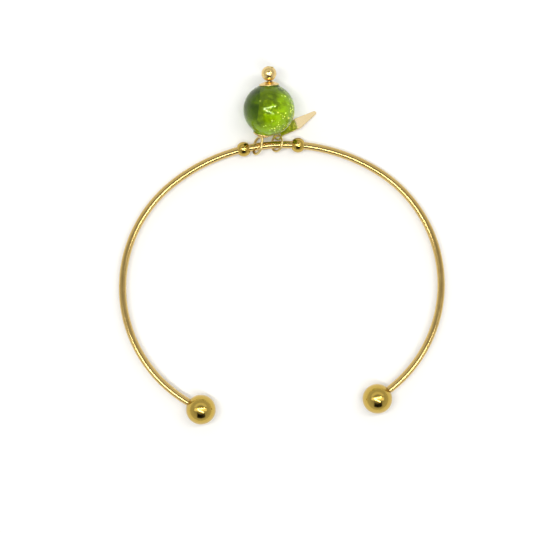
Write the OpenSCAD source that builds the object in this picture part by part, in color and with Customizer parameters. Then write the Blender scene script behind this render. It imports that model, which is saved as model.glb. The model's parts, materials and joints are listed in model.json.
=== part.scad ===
// Charm bangle: an open oval cuff of round wire with a ball on each end. Two stopper beads keep two
// charms on its crown: a glass bead on a head pin, whose loop closes round the wire, and a flat
// lozenge on a jump ring. The bangle lies on its side, as it rests when it is put down.
// +Z points up from the surface it lies on and +Y points from the middle of the oval to the charms.
// The origin is the middle of the wrist opening, at the height of that surface. Sizes are in mm.

/* [Bangle wire] */
// Diameter of the bangle's wire
wire_d = 1.5; // [1.2:0.1:1.8]
// Radius of the wire's centre line round each side of the oval
side_r = 26.8; // [25:0.2:29]
// Radius of the flatter arc across the crown of the oval
crown_r = 36; // [33:0.5:42]
// Distance of each side arc's centre from the middle of the oval
side_offset = 5.36; // [4:0.04:6.4]
// Clear width of the mouth, between the two end balls
mouth_w = 29.6; // [24:0.4:34]

/* [End balls] */
// Diameter of each end ball
end_ball_d = 6; // [5:0.25:8]
// Diameter of the stub that each end of the wire carries
stub_d = 1; // [0.8:0.05:1.1]
// Length of the stub inside its ball
stub_l = 2.6; // [2:0.1:3]

/* [Stopper beads] */
// Diameter of each stopper bead
stopper_d = 3; // [2.6:0.1:4]
// Distance between the centres of the two stopper beads
rail_l = 11; // [10:0.25:16]
// Distance of the stretch between them from the middle of the crown, to the right
rail_shift = -0.5; // [-2:0.1:2]

/* [Glass bead] */
// Diameter of the glass bead, across its hole
glass_d = 10.3; // [9:0.1:12]
// Share of that diameter between the flat ends on which its caps sit
glass_share = 0.956; // [0.93:0.002:0.98]
// Height of the shoulder that carries each flat end
shoulder_h = 0.8; // [0.6:0.05:1]
// Spread of that shoulder from the flat end down to its foot
shoulder_spread = 0.4; // [0.2:0.05:0.6]
// Diameter of the hole through the glass bead
glass_bore_d = 1.2; // [1:0.05:1.4]
// Distance of that hole's axis from the middle of the bead
bore_offset = 0.68; // [0:0.04:0.8]

/* [Bead caps] */
// Diameter of a cap's brim
cap_d = 4; // [3.4:0.1:5]
// Diameter of a cap's flat top
cap_top_d = 1.5; // [1.3:0.1:2]
// Height of a cap's flat top above the glass
cap_h = 0.75; // [0.6:0.05:1.1]
// Thickness of a cap's sheet metal
cap_t = 0.16; // [0.12:0.01:0.2]
// Tilt of the upper cap on the pin, in degrees
top_cap_tilt = 9.9; // [0:0.1:12]
// Tilt of the lower cap on the pin, in degrees
bottom_cap_tilt = 2.4; // [0:0.1:12]

/* [Finial bead] */
// Diameter of the finial bead
finial_d = 3; // [2.5:0.1:4]
// Diameter of the hole through the finial bead
finial_bore_d = 0.9; // [0.7:0.05:1]
// Distance of that hole's axis from the middle of the finial bead
finial_offset = 0.14; // [0:0.02:0.2]

/* [Head pin] */
// Diameter of the head pin's wire
pin_d = 0.52; // [0.4:0.02:0.56]
// Diameter of the pin's flat head
pin_head_d = 1.28; // [1.1:0.02:1.6]
// Thickness of the pin's flat head
pin_head_t = 0.25; // [0.15:0.05:0.4]
// Radius of the loop, to the middle of its wire
loop_r = 1.75; // [1.65:0.05:2.1]
// Length of bare pin between the glass and the loop, with the lower cap on it
loop_stand = 2.78; // [2.4:0.02:3.2]

/* [Jump ring and lozenge] */
// Diameter of the jump ring's wire
ring_wire_d = 0.46; // [0.4:0.02:0.54]
// Radius of the jump ring, to the middle of its wire
ring_r = 1.58; // [1.45:0.02:1.9]
// Length of the lozenge, from the middle of its eye to its tip
lozenge_l = 9.27; // [7:0.1:12]
// Width of the lozenge across its blunt corners
lozenge_w = 2.44; // [2:0.04:3.2]
// Share of that length at which the blunt corners lie
lozenge_corner = 0.51; // [0.4:0.01:0.6]
// Width of the lozenge where it runs into its eye
lozenge_neck_w = 0.8; // [0.5:0.05:1]
// Radius of the lozenge's rounded tip
lozenge_tip_r = 0.38; // [0.2:0.02:0.5]
// Thickness of the lozenge's sheet metal
lozenge_t = 0.3; // [0.2:0.02:0.35]
// Width of metal round the hole in the lozenge's eye
eye_wall = 0.26; // [0.2:0.02:0.5]

/* [How the charms lie] */
// Clear distance along the wire from the left stopper bead to the middle of the pin's loop
loop_gap = 1.42; // [1.3:0.05:2]
// Distance along the wire from the pin's loop to the jump ring
charm_gap = 3.86; // [3.6:0.05:4.4]
// Turn of the glass bead's pin to the right of straight outwards, in degrees
charm_lean = 10; // [0:1:14]
// Turn of the pin's loop to the right of straight outwards, in degrees
loop_lean = 18.7; // [14:0.5:24]
// Slope of the loop's plane, in degrees from level
loop_slope = 62.5; // [58:0.5:70]
// Turn of the jump ring to the right of straight outwards, in degrees
ring_lean = 10; // [4:0.5:14]
// Slope of the jump ring's plane, in degrees from level
ring_slope = 49; // [46:0.5:54]
// Direction in which the lozenge points, in degrees from the right
lozenge_turn = 29; // [24:0.5:34]
// Roll of the lozenge about its length, with its outer edge down, in degrees
lozenge_roll = 20; // [10:1:24]

/* [Clearances] */
// Gap between pieces that lie against each other
play = 0.05; // [0.04:0.01:0.08]
// Radial gap between a stopper bead's hole and the wire
stopper_play = 0.12; // [0.08:0.01:0.2]
// Height at which what lies on the surface clears it
floor_play = 0.02; // [0:0.01:0.05]

/* [Hidden] */
gold = "goldenrod";
pale_gold = "burlywood";
$fn = 64;
thin_fn = 32;

// The oval is three arcs that meet without a corner
crown_drop = sqrt(pow(crown_r - side_r, 2) - pow(side_offset, 2));
crown_half = asin(side_offset / (crown_r - side_r));

// Where two stretches of wire meet, their ends stand this many degrees apart on their arc, inside a ball
// that closes the seam and is this much wider than the wire
seam_gap = 0.08;
loop_seam_gap = 1;
seam_extra = 0.02;

// The wire butts on a small flat on each ball, and its stub goes in behind that flat
ball_flat = sqrt(pow(end_ball_d / 2, 2) - pow(wire_d / 2, 2));
ball_reach = ball_flat + play;
ball_x = (mouth_w + end_ball_d) / 2;
end_turn = acos((ball_x - side_offset) / norm([side_r, ball_reach])) - atan(ball_reach / side_r);
ball_y = -side_r * sin(end_turn) - ball_reach * cos(end_turn);

// The oval's plane leans on the end balls and on the stopper beads
function crown_y(x) = sqrt(crown_r * crown_r - x * x) - crown_drop;
left_x = rail_shift - rail_l / 2;
right_x = rail_shift + rail_l / 2;
stopper_y = max(crown_y(left_x), crown_y(right_x));
plane_tilt = asin((end_ball_d - stopper_d) / 2 / (stopper_y - ball_y));
plane_z = end_ball_d / 2 + ball_y * sin(plane_tilt);
function rail_point(x) = [x, crown_y(x) * cos(plane_tilt), plane_z - crown_y(x) * sin(plane_tilt)];

// A ring's own axes: out is level, and up climbs the ring's slope to the right
function out_of(lean) = [sin(lean), cos(lean), 0];
function up_of(lean, slope) = [cos(slope) * cos(lean), -cos(slope) * sin(lean), sin(slope)];
function on_ring(middle, r, lean, slope, turn) =
    middle + r * (cos(turn) * out_of(lean) + sin(turn) * up_of(lean, slope));

// The height of a ring's middle above the wire, where its lower strand passes this far from the wire's axis
function rise_over_wire(r, back, lean, slope, reach) = min([for (turn = [-120:-60])
    let (off = back + r * (cos(turn) * cos(lean) - sin(turn) * cos(slope) * sin(lean)))
    if (abs(off) < reach) -r * sin(turn) * sin(slope) - sqrt(reach * reach - off * off)]);

// The loop's lower strand passes close under the wire
loop_back = 0.15;
loop_x = left_x + stopper_d / 2 + loop_gap;
wire_turn = asin(loop_x / crown_r);
loop_reach = wire_d / 2 + pin_d / 2 + play;
loop_rise = rise_over_wire(loop_r, loop_back, loop_lean - wire_turn, loop_slope, loop_reach);
loop_middle = rail_point(loop_x) + loop_back * out_of(wire_turn) + [0, 0, loop_rise];

// The shank runs straight on from the top of the loop, and the loop's end stops beside it
shank_turn = 97;
loop_sweep = 360 - acos(1 - (pin_d + 2 * play) / loop_r);
shank_end = on_ring(loop_middle, loop_r, loop_lean, loop_slope, shank_turn);
glass_l = glass_share * glass_d;
shank_run = glass_l / 2 + loop_stand;
charm_lift = asin((glass_d / 2 - shank_end[2]) / shank_run);
shank_dir = [cos(charm_lift) * sin(charm_lean), cos(charm_lift) * cos(charm_lean), sin(charm_lift)];
pin_foot = shank_end + shank_run * shank_dir;

// Each cap is threaded on the pin by the hole in its flat top, and lies tilted on a flat end of the glass
function cap_top_at(tilt) = (glass_l / 2 + cap_h - bore_offset * sin(tilt)) / cos(tilt);
cap_slope = atan((cap_h - play - cap_t) / (cap_d / 2 - cap_top_d / 2));
cap_drop = cap_t / cos(cap_slope);
cap_bore_r = pin_d / 2 + play + cap_t * tan(top_cap_tilt) / 2;

// The finial bead stands on the upper cap, and the pin's head lies in a seat in its outer end
rim_lift = finial_bore_d / 2 * sin(top_cap_tilt);
high_rim = sqrt(pow(finial_d / 2, 2) - pow(finial_bore_d / 2 + finial_offset, 2)) + rim_lift;
low_rim = sqrt(pow(finial_d / 2, 2) - pow(finial_bore_d / 2 - finial_offset, 2)) - rim_lift;
finial_at = cap_top_at(top_cap_tilt) + max(high_rim, low_rim) + play;
seat_r = pin_head_d / 2 + play;
head_top = sqrt(pow(finial_d / 2, 2) - pow(seat_r - finial_offset, 2)) + play;
head_at = finial_at + head_top - pin_head_t;

// The jump ring lies on the surface, or hangs on the wire where it is too small for that
ring_back = 0.28;
ring_cut = 3;
ring_cut_turn = 230;
ring_x = loop_x + charm_gap;
ring_half_h = ring_r * sin(ring_slope);
ring_lying_z = ring_half_h + ring_wire_d / 2 + floor_play;
ring_hung_z = rail_point(ring_x)[2] + wire_d / 2 + ring_wire_d / 2 + play - ring_half_h;
ring_middle = [ring_x, rail_point(ring_x)[1] + ring_back, max(ring_lying_z, ring_hung_z)];

// The lozenge hangs by its eye on the far side of the ring, and its tip lies on the surface
eye_back = 0.06;
eye_at = on_ring(ring_middle, ring_r - eye_back, ring_lean, ring_slope, 0);
tip_x = lozenge_l - lozenge_tip_r;
tip_steps = 6;
tip_rest = lozenge_tip_r * sin(lozenge_roll) + lozenge_t / 2 + floor_play;
lozenge_dip = asin((eye_at[2] - tip_rest) / tip_x);

// The ring passes through the plate's eye at a slant, so the eye's hole is wider than the ring's wire
plate_up = [sin(lozenge_dip) * cos(lozenge_roll), sin(lozenge_roll), cos(lozenge_dip) * cos(lozenge_roll)];
plate_normal = [plate_up[0] * cos(lozenge_turn) - plate_up[1] * sin(lozenge_turn),
                plate_up[0] * sin(lozenge_turn) + plate_up[1] * cos(lozenge_turn), plate_up[2]];
eye_slant = acos(plate_normal * up_of(ring_lean, ring_slope));
eye_hole_d = ring_wire_d / cos(eye_slant) + lozenge_t * tan(eye_slant) + 4 * play;

module in_oval_plane() {
    translate([0, 0, plane_z]) rotate([-plane_tilt, 0, 0]) children();
}

// Places things at an end of the wire, with +Z pointing on along the wire
module at_wire_end(side) {
    in_oval_plane() scale([side, 1, 1]) translate([side_offset, 0, 0]) rotate([0, 0, -end_turn])
        translate([side_r, 0, 0]) rotate([90, 0, 0]) children();
}

module wire_arc(r, from, sweep) {
    rotate([0, 0, from]) rotate_extrude(angle = sweep) translate([r, 0]) circle(d = wire_d);
}

module side_arc() {
    translate([side_offset, 0, 0]) wire_arc(side_r, -end_turn, end_turn + 90 - crown_half);
}

// Where a side arc meets the crown, a ball a hair wider than the wire closes the seam
module seam() {
    translate([side_offset, 0, 0]) rotate([0, 0, 90 - crown_half]) translate([side_r, 0, 0])
        sphere(d = wire_d + seam_extra);
}

module bangle_wire() {
    color(gold) {
        in_oval_plane() {
            translate([0, -crown_drop, 0])
                wire_arc(crown_r, 90 - crown_half + seam_gap, 2 * (crown_half - seam_gap));
            for (side = [-1, 1]) scale([side, 1, 1]) {
                side_arc();
                seam();
            }
        }
        for (side = [-1, 1]) at_wire_end(side) cylinder(d = stub_d, h = stub_l + play);
    }
}

module end_ball(side) {
    color(gold) at_wire_end(side) difference() {
        translate([0, 0, ball_reach]) sphere(d = end_ball_d);
        translate([0, 0, play - wire_d]) cylinder(d = 2 * wire_d, h = wire_d);
        cylinder(d = stub_d + 2 * play, h = stub_l + 2 * play);
    }
}

module drilled_bead(d, bore_d) {
    difference() {
        sphere(d = d);
        cylinder(d = bore_d, h = 2 * d, center = true);
    }
}

module stopper_bead(x) {
    color(gold) in_oval_plane() translate([0, -crown_drop, 0]) rotate([0, 0, -asin(x / crown_r)])
        translate([0, crown_r, 0]) rotate([0, 90, 0])
            drilled_bead(stopper_d, wire_d + 2 * stopper_play);
}

// Places things on the head pin: +Z runs along it to its head, from the point beside the glass's middle
module on_pin() {
    translate(pin_foot) rotate([0, 0, -charm_lean]) rotate([charm_lift - 90, 0, 0]) children();
}

// Places things on a flat end of the glass, with +Z through its cap
module on_glass_end(tilt) {
    translate([0, 0, cap_top_at(tilt)]) rotate([0, -tilt, 0]) translate([0, 0, -cap_h]) children();
}

module shoulder() {
    flat_r = cap_d / 2 - play;
    translate([0, 0, -shoulder_h]) cylinder(r1 = flat_r + shoulder_spread, r2 = flat_r, h = shoulder_h);
}

module glass_bead() {
    color("yellowgreen") on_pin() difference() {
        union() {
            translate([bore_offset, 0, 0]) sphere(d = glass_d);
            on_glass_end(top_cap_tilt) shoulder();
            mirror([0, 0, 1]) on_glass_end(bottom_cap_tilt) shoulder();
        }
        on_glass_end(top_cap_tilt) cylinder(d = glass_d, h = glass_d);
        mirror([0, 0, 1]) on_glass_end(bottom_cap_tilt) cylinder(d = glass_d, h = glass_d);
        cylinder(d = glass_bore_d, h = 2 * glass_d, center = true);
    }
}

// A shallow cone of sheet metal, with a flat brim at its foot and a flat top round the pin
module bead_cap(tilt) {
    brim_r = cap_d / 2;
    top_r = cap_top_d / 2;
    color(gold) on_glass_end(tilt) rotate_extrude()
        polygon([[brim_r, play], [brim_r, play + cap_t], [top_r, cap_h], [cap_bore_r, cap_h],
                 [cap_bore_r, cap_h - cap_t], [top_r - (cap_drop - cap_t) / tan(cap_slope), cap_h - cap_t],
                 [brim_r - (cap_drop - cap_t) / tan(cap_slope), play]]);
}

module bead_cap_top() {
    on_pin() bead_cap(top_cap_tilt);
}

module bead_cap_bottom() {
    on_pin() mirror([0, 0, 1]) bead_cap(bottom_cap_tilt);
}

module finial_bead() {
    color(gold) on_pin() translate([0, 0, finial_at]) difference() {
        translate([-finial_offset, 0, 0]) sphere(d = finial_d);
        cylinder(d = finial_bore_d, h = 2 * finial_d, center = true);
        translate([0, 0, head_top - pin_head_t - play]) cylinder(r = seat_r, h = finial_d);
    }
}

// An arc of round wire in a ring's sloping plane, from one turn on the ring through a sweep
module ring_wire(middle, r, d, lean, slope, from, sweep) {
    translate(middle) rotate([0, 0, 90 - lean]) rotate([180 - slope, 0, 0]) rotate([0, 0, from])
        rotate_extrude(angle = sweep) translate([r, 0]) circle(d = d, $fn = thin_fn);
}

module head_pin() {
    color(gold) {
        on_pin() {
            translate([0, 0, head_at]) cylinder(d = pin_head_d, h = pin_head_t);
            translate([0, 0, seam_extra - shank_run])
                cylinder(d = pin_d, h = shank_run - seam_extra + head_at + pin_head_t / 2);
            translate([0, 0, -shank_run]) sphere(d = pin_d + seam_extra, $fn = thin_fn);
        }
        ring_wire(loop_middle, loop_r, pin_d, loop_lean, loop_slope, shank_turn + loop_seam_gap,
                  loop_sweep - loop_seam_gap);
    }
}

module jump_ring() {
    color(gold)
        ring_wire(ring_middle, ring_r, ring_wire_d, ring_lean, ring_slope, ring_cut_turn, 360 - ring_cut);
}

// The lozenge's plate: neck, blunt corners, and a tip rounded from one side to the other
module lozenge_plate() {
    corner = [lozenge_l * lozenge_corner, lozenge_w / 2];
    run = [tip_x, 0] - corner;
    side_turn = 90 - atan(-run[1] / run[0]) + asin(lozenge_tip_r / norm(run));
    neck = [0, lozenge_neck_w / 2];
    tip = [for (i = [-tip_steps:tip_steps]) let (a = side_turn * i / tip_steps)
        [tip_x + lozenge_tip_r * cos(a), lozenge_tip_r * sin(a)]];
    linear_extrude(lozenge_t)
        polygon(concat([[neck[0], -neck[1]], [corner[0], -corner[1]]], tip, [corner, neck]));
}

module lozenge_charm() {
    color(pale_gold) translate(eye_at) rotate([0, 0, lozenge_turn]) rotate([0, lozenge_dip, 0])
        rotate([-lozenge_roll, 0, 0]) translate([0, 0, -lozenge_t / 2]) difference() {
            union() {
                lozenge_plate();
                cylinder(d = eye_hole_d + 2 * eye_wall, h = lozenge_t);
            }
            translate([0, 0, -lozenge_t]) cylinder(d = eye_hole_d, h = 3 * lozenge_t);
        }
}

bangle_wire();
end_ball(-1);  // end_ball_left
end_ball(1);  // end_ball_right
stopper_bead(left_x);  // stopper_bead_left
stopper_bead(right_x);  // stopper_bead_right
glass_bead();
bead_cap_top();
bead_cap_bottom();
finial_bead();
head_pin();
jump_ring();
lozenge_charm();
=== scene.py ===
# %% [markdown]
# # A charm bangle, from its frame to its finish
#
# The real piece is an open cuff of gold-plated brass wire with a ball on each end. Two stopper beads keep
# two charms on its crown: a green foil-lined glass bead on a head pin, and a flat lozenge on a jump ring.
#
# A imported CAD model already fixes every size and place. This lesson loads it as a frame, builds a finer
# mesh for each piece where the eye comes close, and gives each surface the finish of its real material.

# %% Load the frame
import json
import math

import bmesh
import bpy
from mathutils import Matrix, Vector

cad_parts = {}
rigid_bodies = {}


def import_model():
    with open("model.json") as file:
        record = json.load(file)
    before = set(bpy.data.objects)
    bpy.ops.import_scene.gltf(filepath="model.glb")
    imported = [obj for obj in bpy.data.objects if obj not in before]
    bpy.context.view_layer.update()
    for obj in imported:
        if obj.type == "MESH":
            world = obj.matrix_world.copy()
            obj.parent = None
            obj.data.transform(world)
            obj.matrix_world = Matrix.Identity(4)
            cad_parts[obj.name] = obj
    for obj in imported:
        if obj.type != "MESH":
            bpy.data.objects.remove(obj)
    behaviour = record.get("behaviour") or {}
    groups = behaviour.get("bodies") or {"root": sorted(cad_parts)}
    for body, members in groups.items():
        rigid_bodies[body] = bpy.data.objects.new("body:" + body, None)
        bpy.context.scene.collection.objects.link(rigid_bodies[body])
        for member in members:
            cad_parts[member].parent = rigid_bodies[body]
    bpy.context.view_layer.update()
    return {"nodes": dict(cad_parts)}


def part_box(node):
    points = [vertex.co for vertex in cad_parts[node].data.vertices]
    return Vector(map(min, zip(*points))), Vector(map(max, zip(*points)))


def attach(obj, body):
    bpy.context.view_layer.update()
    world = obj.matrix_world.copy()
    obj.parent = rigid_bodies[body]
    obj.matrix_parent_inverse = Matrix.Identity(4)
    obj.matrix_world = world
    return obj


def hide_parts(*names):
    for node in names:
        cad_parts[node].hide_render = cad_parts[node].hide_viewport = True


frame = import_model()
MM = 0.001
print("nodes in the frame:", ", ".join(sorted(frame["nodes"])))

# %% [markdown]
# Colours are easiest to choose as the sRGB hex codes of a colour picker, while shaders work in linear
# light, so one function turns the first into the second. Node trees are long to write by hand, so another
# function adds a node, sets its properties and fills its inputs. An input may be a value, a socket or a
# whole node: then it is linked to that node's first output in use, which is the one wanted most often.

# %% Helpers for every tree
def colour(code):
    """An sRGB hex colour as the linear RGBA that shaders expect."""
    shares = [int(code[i:i + 2], 16) / 255 for i in (1, 3, 5)]
    return (*[s / 12.92 if s <= 0.04045 else ((s + 0.055) / 1.055) ** 2.4 for s in shares], 1)


def fill(tree, node, inputs):
    """Fills a node's inputs, each named or numbered, with a value, a socket or another node."""
    for name, value in inputs.items():
        if isinstance(value, bpy.types.Node):
            value = next(output for output in value.outputs if output.enabled)
        if isinstance(value, bpy.types.NodeSocket):
            tree.links.new(value, node.inputs[name])
        else:
            node.inputs[name].default_value = value


def add(tree, kind, inputs=None, **settings):
    """Adds a node with its settings and inputs."""
    node = tree.nodes.new(kind)
    for name, value in settings.items():
        setattr(node, name, value)
    fill(tree, node, inputs or {})
    return node


print("polished gold in linear light:", [round(c, 3) for c in colour("#E7C576")])

# %% [markdown]
# ## Where things are
#
# The bangle lies on its side and is seen from straight above, as in a catalogue picture on a white table.
# A long lens 330 mm above it gives the slight perspective of such a picture. The camera is turned a few
# degrees, because nobody lays a bangle down exactly square.

# %% Camera
CAMERA_AT = Vector((-2.85, 4.04, 330)) * MM
CAMERA_TURN = math.radians(-3.51)
VIEW_W = 107.34 * MM
VIEW_W_AT = 3 * MM


def placed(name, data):
    """A new object in the scene with this data."""
    thing = bpy.data.objects.new(name, data)
    bpy.context.scene.collection.objects.link(thing)
    return thing


camera_data = bpy.data.cameras.new("camera")
camera_data.sensor_width = 36
camera_data.lens = camera_data.sensor_width * (CAMERA_AT.z - VIEW_W_AT) / VIEW_W
camera = placed("camera", camera_data)
camera.location = CAMERA_AT
camera.rotation_euler = (0, 0, CAMERA_TURN)
bpy.context.scene.camera = camera
print(f"lens {camera_data.lens:.1f} mm, {VIEW_W / MM:.0f} mm of the picture across at the wire's height")

# %% [markdown]
# The frame's boxes give the middle of each ball and stopper bead. A ball's flat and a bead's bore hardly
# change its box, so the middle of the box is the middle of the ball.

# %% Middles of the balls and beads
def middle(node):
    """The middle of a CAD node's box."""
    low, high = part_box(node)
    return (low + high) / 2


BALL_R = 3 * MM
SMALL_R = 1.5 * MM
balls = {side: middle(f"end_ball_{side}") for side in ("left", "right")}
stoppers = {side: middle(f"stopper_bead_{side}") for side in ("left", "right")}
print("mouth of the cuff:", round((balls["right"].x - balls["left"].x - 2 * BALL_R) / MM, 1), "mm")

# %% [markdown]
# The head pin is the spine of the glass charm. It points 10 degrees to the right of straight outwards and
# climbs from its loop on the wire to the height of the glass bead's middle, beside which it passes. All
# its round pieces are built in the pin's own frame, whose Z runs along the pin from that place.

# %% The pin's axis
GLASS_R = 5.15 * MM
BORE_OFFSET = 0.68 * MM
PIN_FOOT = Vector((-1.0994, 35.454, 5.15)) * MM
PIN_TURN = math.radians(10)
PIN_RISE = math.radians(13.238)

pin_axes = Matrix.Rotation(-PIN_TURN, 4, "Z") @ Matrix.Rotation(PIN_RISE - math.pi / 2, 4, "X")
on_pin = Matrix.Translation(PIN_FOOT) @ pin_axes
glass_middle = on_pin @ Vector((BORE_OFFSET, 0, 0))
miss = (middle("glass_bead") - glass_middle) / MM
print(f"the glass misses the middle of its box by {miss.x:.3f} mm across and {miss.z:.3f} mm up")

# %% [markdown]
# The cuff's wire follows three arcs in one plane, which leans from the big end balls down to the small
# stopper beads. The sizes of the arcs are the cuff's driving sizes. The lean and the ends come from the
# frame. Parts that touch keep a play of a twentieth of a millimetre, as soldered and threaded ones do.

# %% The oval's plane and arcs
WIRE_R = 0.75 * MM
SIDE_R = 26.8 * MM
SIDE_OFFSET = 5.36 * MM
CROWN_R = 36 * MM
PLAY = 0.05 * MM
BALL_REACH = math.sqrt(BALL_R ** 2 - WIRE_R ** 2) + PLAY

stopper = stoppers["right"]
plane_lean = math.atan((balls["right"].z - stopper.z) / (stopper.y - balls["right"].y))
plane_z = stopper.z + stopper.y * math.tan(plane_lean)
oval_plane = Matrix.Translation((0, 0, plane_z)) @ Matrix.Rotation(-plane_lean, 4, "X")
crown_drop = math.sqrt((CROWN_R - SIDE_R) ** 2 - SIDE_OFFSET ** 2)
crown_half = math.asin(SIDE_OFFSET / (CROWN_R - SIDE_R))
ball_in_plane = oval_plane.inverted() @ balls["right"]
end_turn = math.atan2(-ball_in_plane.y, ball_in_plane.x - SIDE_OFFSET) - math.atan(BALL_REACH / SIDE_R)
print(f"the oval leans {math.degrees(plane_lean):.2f} degrees")
print(f"its ends turn in {math.degrees(end_turn):.1f} degrees")

# %% [markdown]
# ## Materials
#
# **Gold plating on brass.** A few tenths of a micron of gold over polished brass gives a clean mirror with
# a warm tint. Three things keep it from looking like plastic: the polish is never quite flat, so
# reflections wander; the shine differs a little from place to place; and the colour of the plating drifts.
# Each is a noise pattern on Object coordinates, with its scale in millimetres. Drawn wire has the flattest
# skin, and turned balls the waviest and brightest.

# %% Gold plating
NOISE_RANGE = {"From Min": 0.3, "From Max": 0.7}


def per(size_mm):
    """The scale of a pattern whose features are this many millimetres across."""
    return 1 / (size_mm * MM)


def new_finish(name):
    """A new material, its tree, its shader, and the place of a point on the piece."""
    material = bpy.data.materials.new(name)
    material.use_nodes = True
    tree = material.node_tree
    return material, tree, tree.nodes["Principled BSDF"], add(tree, "ShaderNodeTexCoord").outputs["Object"]


def mottled(tree, place, size_mm, detail, tint, drift):
    """A colour that drifts to another in patches of this size."""
    patches = add(tree, "ShaderNodeTexNoise", {"Vector": place, "Scale": per(size_mm), "Detail": detail})
    return add(tree, "ShaderNodeMix", {"Factor": patches, "A": colour(tint), "B": colour(drift)},
               data_type="RGBA")


def plated_gold(name, tint, drift, rough, wander):
    """Polished plating: tint drifts to another colour, rough is its range and wander its waves' height."""
    material, tree, surface, place = new_finish(name)
    tints = mottled(tree, place, 3.5, 2, tint, drift)
    shine = add(tree, "ShaderNodeTexNoise", {"Vector": place, "Scale": per(1.2), "Detail": 2})
    dull = add(tree, "ShaderNodeMapRange", {"Value": shine, **NOISE_RANGE,
                                            "To Min": rough[0], "To Max": rough[1]})
    waves = add(tree, "ShaderNodeTexNoise", {"Vector": place, "Scale": per(1.6), "Detail": 1})
    bump = add(tree, "ShaderNodeBump", {"Height": waves, "Distance": wander * MM})
    fill(tree, surface, {"Metallic": 1, "Base Color": tints, "Roughness": dull, "Normal": bump})
    return material


# The four tints are one plating, set apart to match how bright each piece looks. The fine wire and the caps
# are painted paler where they face the light, and the balls darker and more olive, so part of their
# difference is painted light and shade.
wire_gold = plated_gold("gold plated drawn wire", "#DEC27C", "#D0AE66", (0.19, 0.25), 0.0008)
ball_gold = plated_gold("gold plated turned ball", "#CDAF58", "#C0A24A", (0.11, 0.18), 0.018)
fine_gold = plated_gold("gold plated fine wire", "#EAD694", "#D6BE70", (0.32, 0.38), 0.001)
cap_gold = plated_gold("gold plated pressed sheet", "#F0D596", "#DCBC74", (0.22, 0.3), 0.008)
print("plated finishes:", ", ".join(gold.name for gold in (wire_gold, ball_gold, fine_gold, cap_gold)))

# %% [markdown]
# ** Brass inside a bore, with painted shade.** Plating hardly reaches into a drilled hole, and nobody polishes
# there, so the bare brass is dull. It is painted a dark brown, darker than bare brass, which stands for the
# shade inside a bead's hole and a cap's bore, so that they read as deep.

# %% Bare brass with painted shade
def bore_brass_with_painted_shade():
    material, tree, surface, place = new_finish("bare brass in a bore, painted dark for shade")
    # Painted shade: these browns are far darker than bare brass and stand for the shade inside the bore.
    shade_and_stain = mottled(tree, place, 0.6, 4, "#3A2A12", "#6B4A1E")
    fill(tree, surface, {"Base Color": shade_and_stain, "Metallic": 0.7, "Roughness": 0.5})
    return material


bore_brass_and_shade = bore_brass_with_painted_shade()
print("inside the bores:", bore_brass_and_shade.name)

# %% [markdown]
# **Stamped sheet.** The lozenge is cut from thin sheet with a paler plating. Rolling the sheet and buffing
# the charm along its length leave fine straight lines, so its shine is streaked in that direction: a noise
# pattern is turned to the charm's length and stretched along it. Real buffing lines are a few hundredths
# of a millimetre apart, too fine for this picture, so they are drawn a quarter of a millimetre wide.

# %% Pale gold sheet
LOZENGE_TURN = math.radians(29)
BUFFING_LINE = 0.25
STRETCH = (0.05, 1, 1)


def buffed_sheet():
    material, tree, surface, place = new_finish("pale gold plated sheet, buffed lengthwise")
    turned_place = add(tree, "ShaderNodeMapping", {"Vector": place, "Rotation": (0, 0, -LOZENGE_TURN)})
    stretched = add(tree, "ShaderNodeVectorMath", {0: turned_place, 1: STRETCH}, operation="MULTIPLY")
    lines = add(tree, "ShaderNodeTexNoise", {"Vector": stretched, "Scale": per(BUFFING_LINE), "Detail": 3})
    tint = add(tree, "ShaderNodeMix", {"Factor": lines, "A": colour("#EFD49C"), "B": colour("#F9E6B8")},
               data_type="RGBA")
    dull = add(tree, "ShaderNodeMapRange", {"Value": lines, **NOISE_RANGE, "To Min": 0.08, "To Max": 0.16})
    bump = add(tree, "ShaderNodeBump", {"Height": lines, "Distance": 0.002 * MM})
    fill(tree, surface, {"Metallic": 1, "Base Color": tint, "Roughness": dull, "Normal": bump})
    return material


pale_gold = buffed_sheet()
print("sheet:", pale_gold.name)

# %% [markdown]
# **Lampwork glass.** The bead is soda-lime glass, melted on a mandrel over a flame, so its skin is
# fire-polished and clear. Glass of this kind bends light with an index of 1.5, which makes whatever is
# inside it look one and a half times as wide. It gets a slight roughness, which spreads the image of thin
# lamps just enough to be drawn without noise.
#
# The inner gather is a deep green that looks nearly opaque. Its colour is painted lighter towards the outside
# of the bead. This painted light stands for the light coming through where less of it lies behind. It is also
# lighter towards its foot. It has no gloss of its own: between glass and glass there is no air, so nothing is
# mirrored there. Past the edge of the foil it takes the foil's colour, so that creases in the foil don't show
# a dark ground.

# %% Clear glass and dark core
FOIL_EDGE = -1.08 * MM
LIME_FROM = 3.4 * MM
SLANT = -0.55
pin_from_world = on_pin.inverted()
ABOUT_PIN = {"Location": pin_from_world.translation, "Rotation": pin_from_world.to_euler()}


def lampwork_glass():
    material, tree, surface, place = new_finish("clear soda-lime glass, fire-polished")
    swirl = mottled(tree, place, 4, 1, "#DDF284", "#D2EA6C")
    fill(tree, surface, {"Base Color": swirl, "Transmission Weight": 1, "Roughness": 0.1, "IOR": 1.5,
                         "Specular Tint": (0.6, 0.66, 0.4, 1)})
    return material


def leaf_axes(tree, place):
    """Distances across the pin, along it, and on the slant along which the leaf's colour changes."""
    about_pin = add(tree, "ShaderNodeMapping", {"Vector": place, **ABOUT_PIN})
    axes = add(tree, "ShaderNodeSeparateXYZ", {"Vector": about_pin}).outputs
    slant = add(tree, "ShaderNodeMath", {0: axes["Z"], 1: SLANT, 2: axes["X"]}, operation="MULTIPLY_ADD")
    return axes["X"], axes["Z"], slant


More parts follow.
